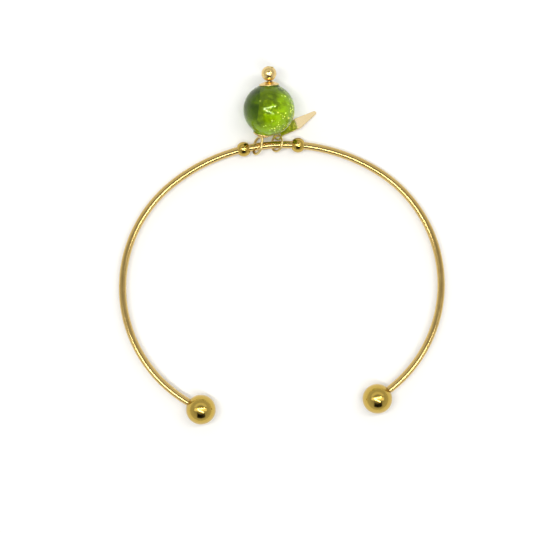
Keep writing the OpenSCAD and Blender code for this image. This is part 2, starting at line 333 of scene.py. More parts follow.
def green_drift(tree, place, slant):
    """The green of the leaf: olive beside the straight edge, drifting to lime on the far side."""
    across = add(tree, "ShaderNodeMapRange", {"Value": slant, "From Min": FOIL_EDGE, "From Max": LIME_FROM})
    cloud = add(tree, "ShaderNodeTexNoise", {"Vector": place, "Scale": per(1.3), "Detail": 4})
    spread = add(tree, "ShaderNodeMapRange", {"Value": cloud, **NOISE_RANGE, "To Min": -0.4, "To Max": 0.4})
    lime = add(tree, "ShaderNodeMath", {0: across, 1: spread}, operation="ADD", use_clamp=True)
    return add(tree, "ShaderNodeMix", {"Factor": lime, "A": colour("#6C7C0B"), "B": colour("#BCD816")},
               data_type="RGBA")


def core_glass():
    material, tree, surface, place = new_finish("deep green core glass")
    across, along, slant = leaf_axes(tree, place)
    # Painted light: the core is made paler near its outer side, for light passing through the thin glass
    # there.
    painted_rim_light = add(tree, "ShaderNodeMapRange", {"Value": across, "From Min": -2.6 * MM, "From Max": -1.9 * MM,
                                            "To Min": 0.12, "To Max": 0.0}, interpolation_type="SMOOTHSTEP")
    cloud = add(tree, "ShaderNodeTexNoise", {"Vector": place, "Scale": per(1.6), "Detail": 3})
    drift = add(tree, "ShaderNodeMapRange", {"Value": cloud, "From Min": 0.35, "From Max": 0.7,
                                             "To Max": 0.3})
    foot = add(tree, "ShaderNodeMapRange", {"Value": along, "From Min": -1 * MM, "From Max": -2.8 * MM},
               interpolation_type="SMOOTHSTEP")
    rim_light_and_drift = add(tree, "ShaderNodeMath", {0: painted_rim_light, 1: drift}, operation="ADD", use_clamp=True)
    light = add(tree, "ShaderNodeMath", {0: rim_light_and_drift, 1: foot}, operation="ADD", use_clamp=True)
    tint = add(tree, "ShaderNodeMix", {"Factor": light, "A": colour("#344A04"), "B": colour("#93AB1C")},
               data_type="RGBA")
    beyond = add(tree, "ShaderNodeMath", {0: across, 1: FOIL_EDGE}, operation="GREATER_THAN")
    skin = add(tree, "ShaderNodeMix", {"Factor": beyond, "A": tint, "B": green_drift(tree, place, slant)},
               data_type="RGBA")
    fill(tree, surface, {"Base Color": skin, "Roughness": 0.4, "Specular IOR Level": 0})
    return material


clear_glass = lampwork_glass()
green_core = core_glass()
print("glass:", clear_glass.name, "over", green_core.name)

# %% [markdown]
# **Foil.** Silver leaf under green glass shines yellow-green. It crumples when the hot glass closes round
# it, and each small facet mirrors another part of the room. The facets are real geometry, below. The
# finish adds the drift from olive near the dark strip to lime on the far side, the fine grain, and the
# tiny torn flakes that shine yellow, most of them towards the outside of the bead. Each flake leans its
# own way, so only some of them catch a lamp. That glint reaches the leaf only through curved glass, where
# a render finds it too seldom, so a small glow of the flakes stands for it.

# %% Foil
FLAKE, FLAKE_CORE, GRAIN = 0.38, 0.42, 0.22
LEAN_SPREAD, LEAN_SHIFT = (2.4, 2.4, 2.4), (-1.2, -1.2, -0.3)


def foil_finish():
    material, tree, surface, place = new_finish("silver foil under green glass")
    slant = leaf_axes(tree, place)[2]
    flakes = add(tree, "ShaderNodeTexVoronoi", {"Vector": place, "Scale": per(FLAKE)}).outputs
    pick = add(tree, "ShaderNodeSeparateColor", {"Color": flakes["Color"]}).outputs
    outer = add(tree, "ShaderNodeMapRange", {"Value": slant, "From Min": 1.4 * MM, "From Max": 3.2 * MM,
                                             "To Min": 0.96, "To Max": 0.6})
    torn = add(tree, "ShaderNodeMath", {0: pick["Red"], 1: outer}, operation="GREATER_THAN")
    small = add(tree, "ShaderNodeMath", {0: flakes["Distance"], 1: FLAKE_CORE}, operation="LESS_THAN")
    flake = add(tree, "ShaderNodeMath", {0: torn, 1: small}, operation="MULTIPLY")
    tint = add(tree, "ShaderNodeMix", {"Factor": flake, "A": green_drift(tree, place, slant),
                                       "B": colour("#FFFFC0")}, data_type="RGBA")
    grain = add(tree, "ShaderNodeTexVoronoi", {"Vector": place, "Scale": per(GRAIN)})
    bump = add(tree, "ShaderNodeBump", {"Height": grain, "Distance": 0.03 * MM})
    lean = add(tree, "ShaderNodeVectorMath", {0: flakes["Color"], 1: LEAN_SPREAD, 2: LEAN_SHIFT},
               operation="MULTIPLY_ADD")
    facing = add(tree, "ShaderNodeNewGeometry").outputs["Normal"]
    leaning = add(tree, "ShaderNodeVectorMath", {0: facing, 1: lean}, operation="ADD")
    own = add(tree, "ShaderNodeVectorMath", {0: leaning}, operation="NORMALIZE")
    normal = add(tree, "ShaderNodeMix", {"Factor": flake, "A": bump, "B": own}, data_type="VECTOR")
    glint = add(tree, "ShaderNodeMath", {0: flake, 1: pick["Green"]}, operation="MULTIPLY")
    fill(tree, surface, {"Base Color": tint, "Normal": normal, "Metallic": 0.5, "Roughness": 0.35,
                         "Specular IOR Level": 0, "Emission Strength": glint,
                         "Emission Color": colour("#FFF87A")})
    return material


foil_green = foil_finish()
print("foil:", foil_green.name)

# %% [markdown]
# ## Building pieces
#
# Every finished piece is a plain mesh whose object sits at the origin, rides on the one body of the frame
# and stands for a CAD node. One function does this for all of them.

# %% Finish a piece
def finish_piece(name, mesh, replaced=(), sharp_above=35):
    """Links a mesh as a piece of the part, faces outwards, smooth apart from its sharp edges."""
    shell = bmesh.new()
    shell.from_mesh(mesh)
    bmesh.ops.recalc_face_normals(shell, faces=shell.faces)
    shell.to_mesh(mesh)
    shell.free()
    mesh.name = name
    mesh.shade_smooth()
    mesh.set_sharp_from_angle(angle=math.radians(sharp_above))
    piece = placed(name, mesh)
    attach(piece, "root")
    if replaced:
        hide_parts(*replaced)
    low, high = (Vector([f(v.co[i] for v in mesh.vertices) for i in range(3)]) for f in (min, max))
    print(f"{name}: {len(mesh.polygons)} faces,", "x".join(f"{s / MM:.2f}" for s in high - low), "mm")
    return piece


# %% [markdown]
# **Turned pieces.** Balls, beads, caps and the pin's head are all round about an axis, as if turned on a
# lathe. Blender's Screw modifier or Spin could make them from a drawn profile. Here a short function
# places rings of points, because that gives full control of poles and seams. A profile is a list of
# (radius, height) points; a radius of zero is a pole, where the rings close in one point.

# %% Turn a profile on a lathe
def turned(profile, place, material, around=96, closed=True):
    """A mesh of revolution round Z, set down by a matrix. A closed profile joins its ends."""
    points, rings, faces = [], [], []
    for radius, height in profile:
        count = 1 if radius == 0 else around
        rings.append([len(points) + i for i in range(count)])
        turns = [2 * math.pi * i / count for i in range(count)]
        points += [place @ Vector((radius * math.cos(t), radius * math.sin(t), height)) for t in turns]
    for one, two in zip(rings, rings[1:] + rings[:1] * closed):
        for i in range(around):
            j = (i + 1) % around
            corners = [one[i % len(one)], one[j % len(one)], two[j % len(two)], two[i % len(two)]]
            faces.append(list(dict.fromkeys(corners)))
    mesh = bpy.data.meshes.new("turned")
    mesh.from_pydata(points, [], faces)
    mesh.materials.append(material)
    return mesh


def bend(centre, radius, start, end, steps):
    """Points of a profile along an arc, from one angle to another, in degrees."""
    angles = [math.radians(start + (end - start) * i / steps) for i in range(steps + 1)]
    return [(centre[0] + radius * math.cos(a), centre[1] + radius * math.sin(a)) for a in angles]


print("a bend of 90 degrees in 3 steps:", [(round(x, 2), round(y, 2)) for x, y in bend((0, 0), 1, 0, 90, 3)])


# %% [markdown]
# A drilled bead is a ball with a bore, and a polished bore has a small rounded lip where the drill broke
# through. The lip's circle touches the ball from inside and the bore from outside, which fixes its place.
# Faces that lie close to the axis get the dark brass of the bore, painted dark for the shade inside it.

# %% Stopper beads
def drilled_ball(radius, bore_r, lip_r, steps=48):
    """The profile of a ball with a bore through it and rounded lips."""
    lip_x = bore_r + lip_r
    lip_z = math.sqrt((radius - lip_r) ** 2 - lip_x ** 2)
    turn = math.degrees(math.atan2(lip_z, lip_x))
    ball = bend((0, 0), radius, -turn, turn, steps)
    top = bend((lip_x, lip_z), lip_r, turn, 180, 6)[1:]
    foot = bend((lip_x, -lip_z), lip_r, 180, 360 - turn, 6)[:-1]
    return ball + top + foot


def line_bore(mesh, place, bore_r):
    """Gives the faces of a bore, which lie about its radius from the axis, the dark brass that paints their
    shade.
    """
    mesh.materials.append(bore_brass_and_shade)
    to_axis = place.inverted()
    for face in mesh.polygons:
        spot = to_axis @ face.center
        if math.hypot(spot.x, spot.y) < bore_r + 0.01 * MM:
            face.material_index = len(mesh.materials) - 1


def aim(at, along):
    """A matrix that sets Z along a direction at a place."""
    return Matrix.Translation(at) @ along.to_track_quat("Z", "Y").to_matrix().to_4x4()


STOPPER_BORE_R = 0.87 * MM
LIP_R = 0.07 * MM

for side, at in stoppers.items():
    turn = math.asin(at.x / CROWN_R)
    along = oval_plane.to_3x3() @ Vector((math.cos(turn), -math.sin(turn), 0))
    place = aim(at, along)
    stopper_mesh = turned(drilled_ball(SMALL_R, STOPPER_BORE_R, LIP_R), place, ball_gold)
    line_bore(stopper_mesh, place, STOPPER_BORE_R)
    finish_piece(f"stopper_{side}", stopper_mesh, [f"stopper_bead_{side}"])


# %% [markdown]
# **End balls.** Each ball has a small flat where the wire butts against it and a blind bore for the wire's
# stub. The flat is what gives the fine dark line between wire and ball.

# %% End balls
STUB_R = 0.5 * MM
STUB_BORE_R = STUB_R + PLAY
STUB_L = 2.65 * MM


def end_ball_profile():
    """A ball round the origin whose flat and blind bore face down."""
    flat_z = BALL_REACH - PLAY
    start = math.degrees(math.atan2(-flat_z, WIRE_R))
    bore_z = -BALL_REACH + STUB_L + PLAY
    bore = [(0, bore_z), (STUB_BORE_R, bore_z), (STUB_BORE_R, -flat_z)]
    return bore + bend((0, 0), BALL_R, start, 90, 64)[:-1] + [(0, BALL_R)]


def wire_end(side):
    """Where the wire ends at a ball, and the direction in which it points there."""
    sign = 1 if side == "right" else -1
    at = Vector((sign * (SIDE_OFFSET + SIDE_R * math.cos(end_turn)), -SIDE_R * math.sin(end_turn), 0))
    along = Vector((-sign * math.sin(end_turn), -math.cos(end_turn), 0))
    return oval_plane @ at, oval_plane.to_3x3() @ along


for side, at in balls.items():
    ball_mesh = turned(end_ball_profile(), aim(at, wire_end(side)[1]), ball_gold, around=128, closed=False)
    finish_piece(f"ball_{side}", ball_mesh, [f"end_ball_{side}"])


# %% [markdown]
# **Wires.** The cuff, the head pin and the jump ring are all round wire bent along a path, so one Geometry
# Nodes tree makes them: it spaces points evenly along the path, sweeps a circle along it and closes the
# ends. The path itself is a curve whose points come from arcs. A tree is better than a curve's own bevel
# here, because its spacing is a real length and the same for every wire. Two functions begin and end a
# tree, because the foil has one too.

# %% A tree that sweeps round wire
def new_tree(name, onto, sizes):
    """A tree with named inputs: the geometry it is put on, its sizes and a finish."""
    tree = bpy.data.node_groups.new(name, "GeometryNodeTree")
    tree.is_modifier = True
    tree.interface.new_socket(onto, in_out="INPUT", socket_type="NodeSocketGeometry")
    for title, size in sizes.items():
        kind = "NodeSocketInt" if isinstance(size, int) else "NodeSocketFloat"
        tree.interface.new_socket(title, in_out="INPUT", socket_type=kind).default_value = size
    tree.interface.new_socket("Finish", in_out="INPUT", socket_type="NodeSocketMaterial")
    tree.interface.new_socket("Piece", in_out="OUTPUT", socket_type="NodeSocketGeometry")
    return tree, add(tree, "NodeGroupInput").outputs


def end_tree(tree, geometry, finish):
    """Makes what a tree made real, and gives it its finish."""
    real = add(tree, "GeometryNodeRealizeInstances", {"Geometry": geometry})
    painted = add(tree, "GeometryNodeSetMaterial", {"Geometry": real, "Material": finish})
    add(tree, "NodeGroupOutput", {"Piece": painted})
    return tree


def wire_tree():
    tree, given = new_tree("round wire along a path", "Path",
                           {"Wire radius": WIRE_R, "Spacing": 0.5 * MM, "Sides": 32})
    even = add(tree, "GeometryNodeResampleCurve", {"Curve": given["Path"], "Length": given["Spacing"]},
               mode="LENGTH")
    circle = add(tree, "GeometryNodeCurvePrimitiveCircle", {"Resolution": given["Sides"],
                                                            "Radius": given["Wire radius"]})
    swept = add(tree, "GeometryNodeCurveToMesh", {"Curve": even, "Profile Curve": circle, "Fill Caps": True})
    return end_tree(tree, swept, given["Finish"])


def evaluated_mesh(data, tree, values):
    """Runs a tree on a curve or mesh with these named inputs and keeps the result as a plain mesh."""
    carrier = bpy.data.objects.new(data.name, data)
    modifier = carrier.modifiers.new("tree", "NODES")
    modifier.node_group = tree
    for item in tree.interface.items_tree:
        if item.in_out == "INPUT" and item.name in values:
            modifier[item.identifier] = values[item.name]
    bpy.context.scene.collection.objects.link(carrier)
    bpy.context.view_layer.update()
    graph = bpy.context.evaluated_depsgraph_get()
    mesh = bpy.data.meshes.new_from_object(carrier.evaluated_get(graph), depsgraph=graph)
    bpy.data.objects.remove(carrier)
    return mesh


def wire(points, radius, spacing, sides, material):
    """Round wire along a path of points."""
    path = bpy.data.curves.new("path", "CURVE")
    path.dimensions = "3D"
    spline = path.splines.new("POLY")
    spline.points.add(len(points) - 1)
    for spot, point in zip(spline.points, points):
        spot.co = (*point, 1)
    return evaluated_mesh(path, round_wire, {"Wire radius": radius, "Spacing": spacing, "Sides": sides,
                                             "Finish": material})


def arc(centre, radius, start, end, across=Vector((1, 0, 0)), up=Vector((0, 1, 0)), step=0.5):
    """Points every so many degrees along an arc, in the plane of two unit vectors."""
    count = max(1, round(abs(end - start) / step))
    turns = [math.radians(start + (end - start) * i / count) for i in range(count + 1)]
    return [centre + radius * (math.cos(t) * across + math.sin(t) * up) for t in turns]


def joined(meshes):
    """One mesh from several."""
    holders = [placed("part", mesh) for mesh in meshes]
    with bpy.context.temp_override(active_object=holders[0], selected_editable_objects=holders):
        bpy.ops.object.join()
    mesh = holders[0].data
    bpy.data.objects.remove(holders[0])
    return mesh


round_wire = wire_tree()
print("inputs of the tree:", [item.name for item in round_wire.interface.items_tree][1:])

# %% [markdown]
# **The cuff.** Right side, crown and left side are one path, walked from the right ball to the left one.
# At each end a thinner stub goes on into the ball, as the real wire's does.

# %% Cuff wire
end_degrees = math.degrees(end_turn)
crown_degrees = math.degrees(crown_half)
side_right = arc(Vector((SIDE_OFFSET, 0, 0)), SIDE_R, -end_degrees, 90 - crown_degrees)
crown = arc(Vector((0, -crown_drop, 0)), CROWN_R, 90 - crown_degrees, 90 + crown_degrees)
side_left = arc(Vector((-SIDE_OFFSET, 0, 0)), SIDE_R, 90 + crown_degrees, 180 + end_degrees)
cuff_path = [oval_plane @ point for point in side_right + crown[1:] + side_left[1:]]
cuff_parts = [wire(cuff_path, WIRE_R, 0.5 * MM, 40, wire_gold)]
for side in balls:
    at, along = wire_end(side)
    cuff_parts.append(wire([at, at + STUB_L * along], STUB_R, 0.5 * MM, 24, wire_gold))
finish_piece("cuff_wire", joined(cuff_parts), ["bangle_wire"])


# %% [markdown]
# ## The glass charm's metal
#
# Each end of the glass bead is ground flat, and a cap lies on it, a little tilted on the pin. The flats,
# the caps and the finial on the upper cap all follow from the length of the glass and these tilts.

# %% Sizes along the pin
GLASS_L = 0.956 * 2 * GLASS_R
CAP_R = 2 * MM
CAP_TOP_R = 0.75 * MM
CAP_H = 0.75 * MM
CAP_T = 0.16 * MM
CAP_TILTS = {"top": (1, math.radians(9.9)), "bottom": (-1, math.radians(2.4))}
TOP_TILT = CAP_TILTS["top"][1]
FINIAL_OFFSET = 0.14 * MM
FINIAL_BORE_R = 0.45 * MM
HEAD_R = 0.64 * MM
HEAD_T = 0.25 * MM
SEAT_R = HEAD_R + PLAY


def cap_top_at(tilt):
    """The place on the pin where a cap's flat top sits."""
    return (GLASS_L / 2 + CAP_H - BORE_OFFSET * math.sin(tilt)) / math.cos(tilt)


def depth_at(across):
    """How far a small bead's skin lies from its middle, this far beside its axis."""
    return math.sqrt(SMALL_R ** 2 - across ** 2)


rim_lift = FINIAL_BORE_R * math.sin(TOP_TILT)
high_rim = depth_at(FINIAL_BORE_R + FINIAL_OFFSET) + rim_lift
low_rim = depth_at(FINIAL_BORE_R - FINIAL_OFFSET) - rim_lift
finial_at = cap_top_at(TOP_TILT) + max(high_rim, low_rim) + PLAY
head_top = depth_at(SEAT_R - FINIAL_OFFSET) + PLAY
print(f"cap top {cap_top_at(TOP_TILT) / MM:.3f} mm, finial {finial_at / MM:.3f} mm along the pin")

# %% [markdown]
# **Head pin.** The pin is one length of wire: a flat head, a straight shank through finial, caps and
# glass, and a loop turned round the cuff. The loop lies in a sloping plane, so it is drawn with that
# plane's own two directions.

# %% Head pin
def ring_directions(lean, slope):
    """The level direction and the climbing direction of a ring's sloping plane."""
    lean, slope = math.radians(lean), math.radians(slope)
    level = Vector((math.sin(lean), math.cos(lean), 0))
    climb = Vector((math.cos(slope) * math.cos(lean), -math.cos(slope) * math.sin(lean), math.sin(slope)))
    return level, climb


PIN_R = 0.26 * MM
LOOP_R = 1.75 * MM
SHANK_TURN = 97
LOOP_SWEEP = 360 - math.degrees(math.acos(1 - (2 * PIN_R + 2 * PLAY) / LOOP_R))
SHANK_RUN = GLASS_L / 2 + 2.78 * MM
HEAD_FLAT_R = HEAD_R - 0.08 * MM
HEAD_EDGE_R = 0.12 * MM

head_at = finial_at + head_top - HEAD_T
level, climb = ring_directions(lean=18.7, slope=62.5)
shank_end = on_pin @ Vector((0, 0, -SHANK_RUN))
turn = math.radians(SHANK_TURN)
loop_middle = shank_end - LOOP_R * (math.cos(turn) * level + math.sin(turn) * climb)
loop = arc(loop_middle, LOOP_R, SHANK_TURN, SHANK_TURN + LOOP_SWEEP, level, climb, step=2)
pin_path = [on_pin @ Vector((0, 0, head_at + HEAD_T / 2)), shank_end] + loop[1:]
head_profile = ([(0, head_at), (HEAD_FLAT_R, head_at)]
                + bend((HEAD_R - HEAD_EDGE_R, head_at + HEAD_T / 2), HEAD_EDGE_R, -60, 60, 8)
                + [(HEAD_FLAT_R, head_at + HEAD_T), (0, head_at + HEAD_T)])
head_mesh = turned(head_profile, on_pin, fine_gold, around=64, closed=False)
pin_mesh = joined([wire(pin_path, PIN_R, 0.12 * MM, 24, fine_gold), head_mesh])
finish_piece("pin", pin_mesh, ["head_pin"])

# %% [markdown]
# **Jump ring.** A cut ring of thinner wire. Its ends stand a hair apart, low on the far side.

# %% Jump ring
RING_R = 1.58 * MM
RING_WIRE_R = 0.23 * MM
RING_START, RING_SWEEP = 230, 357

ring_level, ring_climb = ring_directions(lean=10, slope=49)
ring_path = arc(middle("jump_ring"), RING_R, RING_START, RING_START + RING_SWEEP, ring_level, ring_climb,
                step=2)
ring_mesh = wire(ring_path, RING_WIRE_R, 0.12 * MM, 24, fine_gold)
finish_piece("ring", ring_mesh, ["jump_ring"])

# %% [markdown]
# **Bead caps.** Each cap is a shallow cone spun from sheet, with a flat top round the pin. Spinning and
# polishing leave no sharp corner, so each corner of its profile becomes a short curve that leaves one side
# and meets the next. The brim's upper edge and the edge of the flat top are rounded most, so light runs
# along them as a soft line.

# %% Bead caps
CAP_BORE_R = PIN_R + PLAY + CAP_T * math.tan(TOP_TILT) / 2
BRIM_REACH = 0.5 * MM
TOP_REACH = 0.3 * MM
EDGE_REACH = 0.05 * MM


def softened(corners, reaches, steps=6):
    """A closed profile whose corners are rounded off, each over its own reach or half of a shorter side."""
    points = []
    corners = [Vector(corner) for corner in corners]
    for i, (corner, reach) in enumerate(zip(corners, reaches)):
        sides = (corners[i - 1] - corner, corners[(i + 1) % len(corners)] - corner)
        start, end = (corner + min(0.5, reach / side.length) * side for side in sides)
        for step in range(steps + 1):
            share = step / steps
            points.append((1 - share) ** 2 * start + 2 * share * (1 - share) * corner + share ** 2 * end)
    return [tuple(point) for point in points]


def cap_profile():
    """Up the outside from the brim, over the flat top and the bore, and back down the inside."""
    slope = math.atan((CAP_H - PLAY - CAP_T) / (CAP_R - CAP_TOP_R))
    inner_step = (CAP_T / math.cos(slope) - CAP_T) / math.tan(slope)
    under = CAP_H - CAP_T
    corners = [(CAP_R, PLAY), (CAP_R, PLAY + CAP_T), (CAP_TOP_R, CAP_H), (CAP_BORE_R, CAP_H),
               (CAP_BORE_R, under), (CAP_TOP_R - inner_step, under), (CAP_R - inner_step, PLAY)]
    return softened(corners, [EDGE_REACH, BRIM_REACH, TOP_REACH] + [EDGE_REACH] * 4)


def on_glass_end(name):
    """A matrix that sets Z through a cap, from the flat on which it lies."""
    way, tilt = CAP_TILTS[name]
    return (on_pin @ Matrix.Scale(way, 4, (0, 0, 1)) @ Matrix.Translation((0, 0, cap_top_at(tilt)))
            @ Matrix.Rotation(-tilt, 4, "Y") @ Matrix.Translation((0, 0, -CAP_H)))


for name in CAP_TILTS:
    cap_mesh = turned(cap_profile(), on_glass_end(name), cap_gold)
    line_bore(cap_mesh, on_glass_end(name), CAP_BORE_R)
    finish_piece(f"cap_{name}", cap_mesh, [f"bead_cap_{name}"])


# %% [markdown]
# ## Shapes found by a rule
#
# The finial's bore and the glass's ends sit beside the middle of their ball, so no lathe turns them. Such a
# shape is easy to say as a rule: a function gives how far a point lies outside it, and the smaller or
# larger of two such distances joins two shapes or cuts one with the other. A blend at the corner makes it
# soft, as heat does to glass. The mesh is found by walking outwards from inside the shape until the rule
# changes sign, towards a guide that only has to pass near the skin. Lengths in a rule are millimetres.

# %% Meshes from a rule
def outer_of(one, two, blend):
    """The larger of two distances, with the corner between them rounded over a blend."""
    near = max(blend - abs(one - two), 0) / blend
    return max(one, two) + near * near * blend / 4


def inner_of(one, two, blend):
    """The smaller of two distances, with the corner between them filled over a blend."""
    return -outer_of(-one, -two, blend)


LONGEST_WALK, HALVINGS = 1.5, 22


def solved(outside, guide, start_r, around, place, material):
    """A ring-shaped mesh: in each half-plane it walks from start_r towards the points of a guide profile."""
    points, faces = [], []
    row = len(guide)
    for i in range(around):
        turn = 2 * math.pi * i / around
        cos, sin = math.cos(turn), math.sin(turn)
        for radius, height in guide:
            near, far = 0.0, LONGEST_WALK
            for _ in range(HALVINGS):
                share = (near + far) / 2
                r = start_r + share * (radius - start_r)
                if outside(r * cos, r * sin, share * height) < 0:
                    near = share
                else:
                    far = share
            r = start_r + near * (radius - start_r)
            points.append(place @ (Vector((r * cos, r * sin, near * height)) * MM))
        here, beside = i * row, (i + 1) % around * row
        faces += [(here + j, beside + j, beside + (j + 1) % row, here + (j + 1) % row) for j in range(row)]
    mesh = bpy.data.meshes.new("solved")
    mesh.from_pydata(points, [], faces)
    mesh.materials.append(material)
    return mesh


def walk(corners, spacing):
    """Points along a line of corners, about this far apart."""
    points = []
    for start, end in zip(corners, corners[1:]):
        count = max(1, round(math.dist(start, end) / spacing))
        points += [tuple(Vector(start).lerp(Vector(end), i / count)) for i in range(count)]
    return points


print("a corner at 1 and 1, rounded over 0.4:", outer_of(1, 1, 0.4))


# %% [markdown]
# **Finial bead.** A drilled ball that stands on the upper cap. Its outer end is opened wider, and the
# pin's flat head lies in that seat.

# %% Finial bead
def finial_rule(x, y, z):
    ball = math.dist((x, y, z), (-FINIAL_OFFSET / MM, 0, 0)) - SMALL_R / MM
    across = math.hypot(x, y)
    seat = max(across - SEAT_R / MM, (head_top - HEAD_T - PLAY) / MM - z)
    return outer_of(outer_of(ball, FINIAL_BORE_R / MM - across, 0.1), -seat, 0.06)


seat_r, bore_r = SEAT_R / MM, FINIAL_BORE_R / MM
finial_guide = (bend((0, 0), SMALL_R / MM, -70, 62, 56)
                + walk([(seat_r, 1.33), (seat_r, 1.15), (bore_r, 1.15), (bore_r, -1.38)], 0.04))
finial_place = on_pin @ Matrix.Translation((0, 0, finial_at))
finial_mesh = solved(finial_rule, finial_guide, 0.95, 96, finial_place, cap_gold)
line_bore(finial_mesh, finial_place, SEAT_R)
finish_piece("finial", finial_mesh, ["finial_bead"])

# %% [markdown]
# **Lozenge.** The charm is stamped from sheet, and its edges are broken by tumbling. A copy of the CAD
# solid has its loose triangles merged and its sharp edges bevelled, so it stays exactly where it hangs.
# Even the small turns of a bevel stay sharp in its shading, because a smooth one would bend the mirror of
# the flat face beside it and draw a dark band there.

# %% Lozenge
lozenge_mesh = frame["nodes"]["lozenge_charm"].data.copy()
shape = bmesh.new()
shape.from_mesh(lozenge_mesh)
bmesh.ops.remove_doubles(shape, verts=shape.verts, dist=0.001 * MM)
bmesh.ops.dissolve_limit(shape, angle_limit=math.radians(1), verts=shape.verts, edges=shape.edges)
rims = [edge for edge in shape.edges if edge.is_manifold and edge.calc_face_angle() > math.radians(50)]
bmesh.ops.bevel(shape, geom=rims, offset=0.05 * MM, segments=3, affect="EDGES", profile=0.5)
shape.to_mesh(lozenge_mesh)
shape.free()
lozenge_mesh.materials.clear()
lozenge_mesh.materials.append(pale_gold)
finish_piece("lozenge", lozenge_mesh, ["lozenge_charm"], sharp_above=10)


# %% [markdown]
# ## The glass bead
#
# Three shells sit inside each other, as the bead was wound: a deep green core, which reaches both ends
# because it was wound on the mandrel, a crumpled sheet of foil round most of it, and a thick clear gather
# on top. The clear glass is one and a half times as strong a lens as air, so a core of about two thirds of
# the bead's width seems to fill it.

# %% Clear shell
BORE_R = 0.6 * MM
SHOULDER_H = 0.8
SHOULDER_SPREAD = 0.4
SHOULDER_COS = 0.89
FLAT_R = (CAP_R - PLAY) / MM
SHOULDER_BLEND, RIM_BLEND, MOUTH_BLEND = 0.15, 0.1, 0.2


def end_of_glass(x, y, z, name):
    """A point's height above a flat end, and its distance from the axis of that end's cap."""
    way, tilt = CAP_TILTS[name]
    z = way * z - cap_top_at(tilt) / MM
    above = z * math.cos(tilt) - x * math.sin(tilt)
    return above + CAP_H / MM, math.sqrt(max(0, x * x + y * y + z * z - above * above))


def shell_rule(x, y, z):
    skin = math.dist((x, y, z), (BORE_OFFSET / MM, 0, 0)) - GLASS_R / MM
    ends = [end_of_glass(x, y, z, name) for name in CAP_TILTS]
    for above, across in ends:
        side = SHOULDER_COS * (across - FLAT_R + above * SHOULDER_SPREAD / SHOULDER_H)
        skin = inner_of(skin, max(side, -above - SHOULDER_H), SHOULDER_BLEND)
    for above, across in ends:
        skin = outer_of(skin, above, RIM_BLEND)
    return outer_of(skin, BORE_R / MM - math.hypot(x, y), MOUTH_BLEND)


shell_guide = drilled_ball(GLASS_R / MM, BORE_R / MM, lip_r=0.15, steps=110)
shell_mesh = solved(shell_rule, shell_guide, 2.9, 144, on_pin, clear_glass)
finish_piece("glass_shell", shell_mesh, ["glass_bead"])

# %% [markdown]
# The core is a ball that runs out in a neck towards each end. Its rule joins the two with a wide blend, as
# hot glass flows.

# %% Core
CORE_R = 0.655 * GLASS_R
CORE_BORE_R = BORE_R / MM + 0.04
NECK_R = 1.15
NECK_BLEND = 1.2
END_GAP = 0.08


def core_rule(x, y, z):
    ball = math.dist((x, y, z), (BORE_OFFSET / MM, 0, 0)) - CORE_R / MM
    across = math.hypot(x, y)
    skin = inner_of(ball, across - NECK_R, NECK_BLEND)
    for name in CAP_TILTS:
        skin = outer_of(skin, end_of_glass(x, y, z, name)[0] + END_GAP, RIM_BLEND)
    return outer_of(skin, CORE_BORE_R - across, RIM_BLEND)


end, spacing = 4.8, 0.12
bore_and_top = walk([(CORE_BORE_R, -end), (CORE_BORE_R, end), (NECK_R, end), (1.3, 3.1)], spacing)
foot = walk([(1.3, -3.1), (NECK_R, -end), (CORE_BORE_R, -end)], spacing)
core_guide = bore_and_top + bend((0, 0), CORE_R / MM, 66, -66, 72) + foot
core_mesh = solved(core_rule, core_guide, 0.85, 120, on_pin, green_core)
finish_piece("glass_core", core_mesh)

# %% [markdown]
# The foil is a sheet wrapped round the core, with one straight edge that runs along the bore and leaves a
# dark strip of core bare. A Geometry Nodes tree makes it: an icosphere loses the faces beyond the straight
# edge and round the bore, and each cell of a Voronoi pattern then tilts its patch of surface by its own
# random slope. That gives flat facets that meet in creases, as crumpled leaf has. The sheet lies a hair
# above the core, and the seed shifts the pattern.

# %% Crumpled foil
FOIL = {"Radius": CORE_R + 0.08 * MM, "Edge": FOIL_EDGE - BORE_OFFSET, "Hole radius": BORE_R + 0.15 * MM,
        "Facet size": 0.7 * MM, "Facet slope": 0.35, "Seed": 0.013}


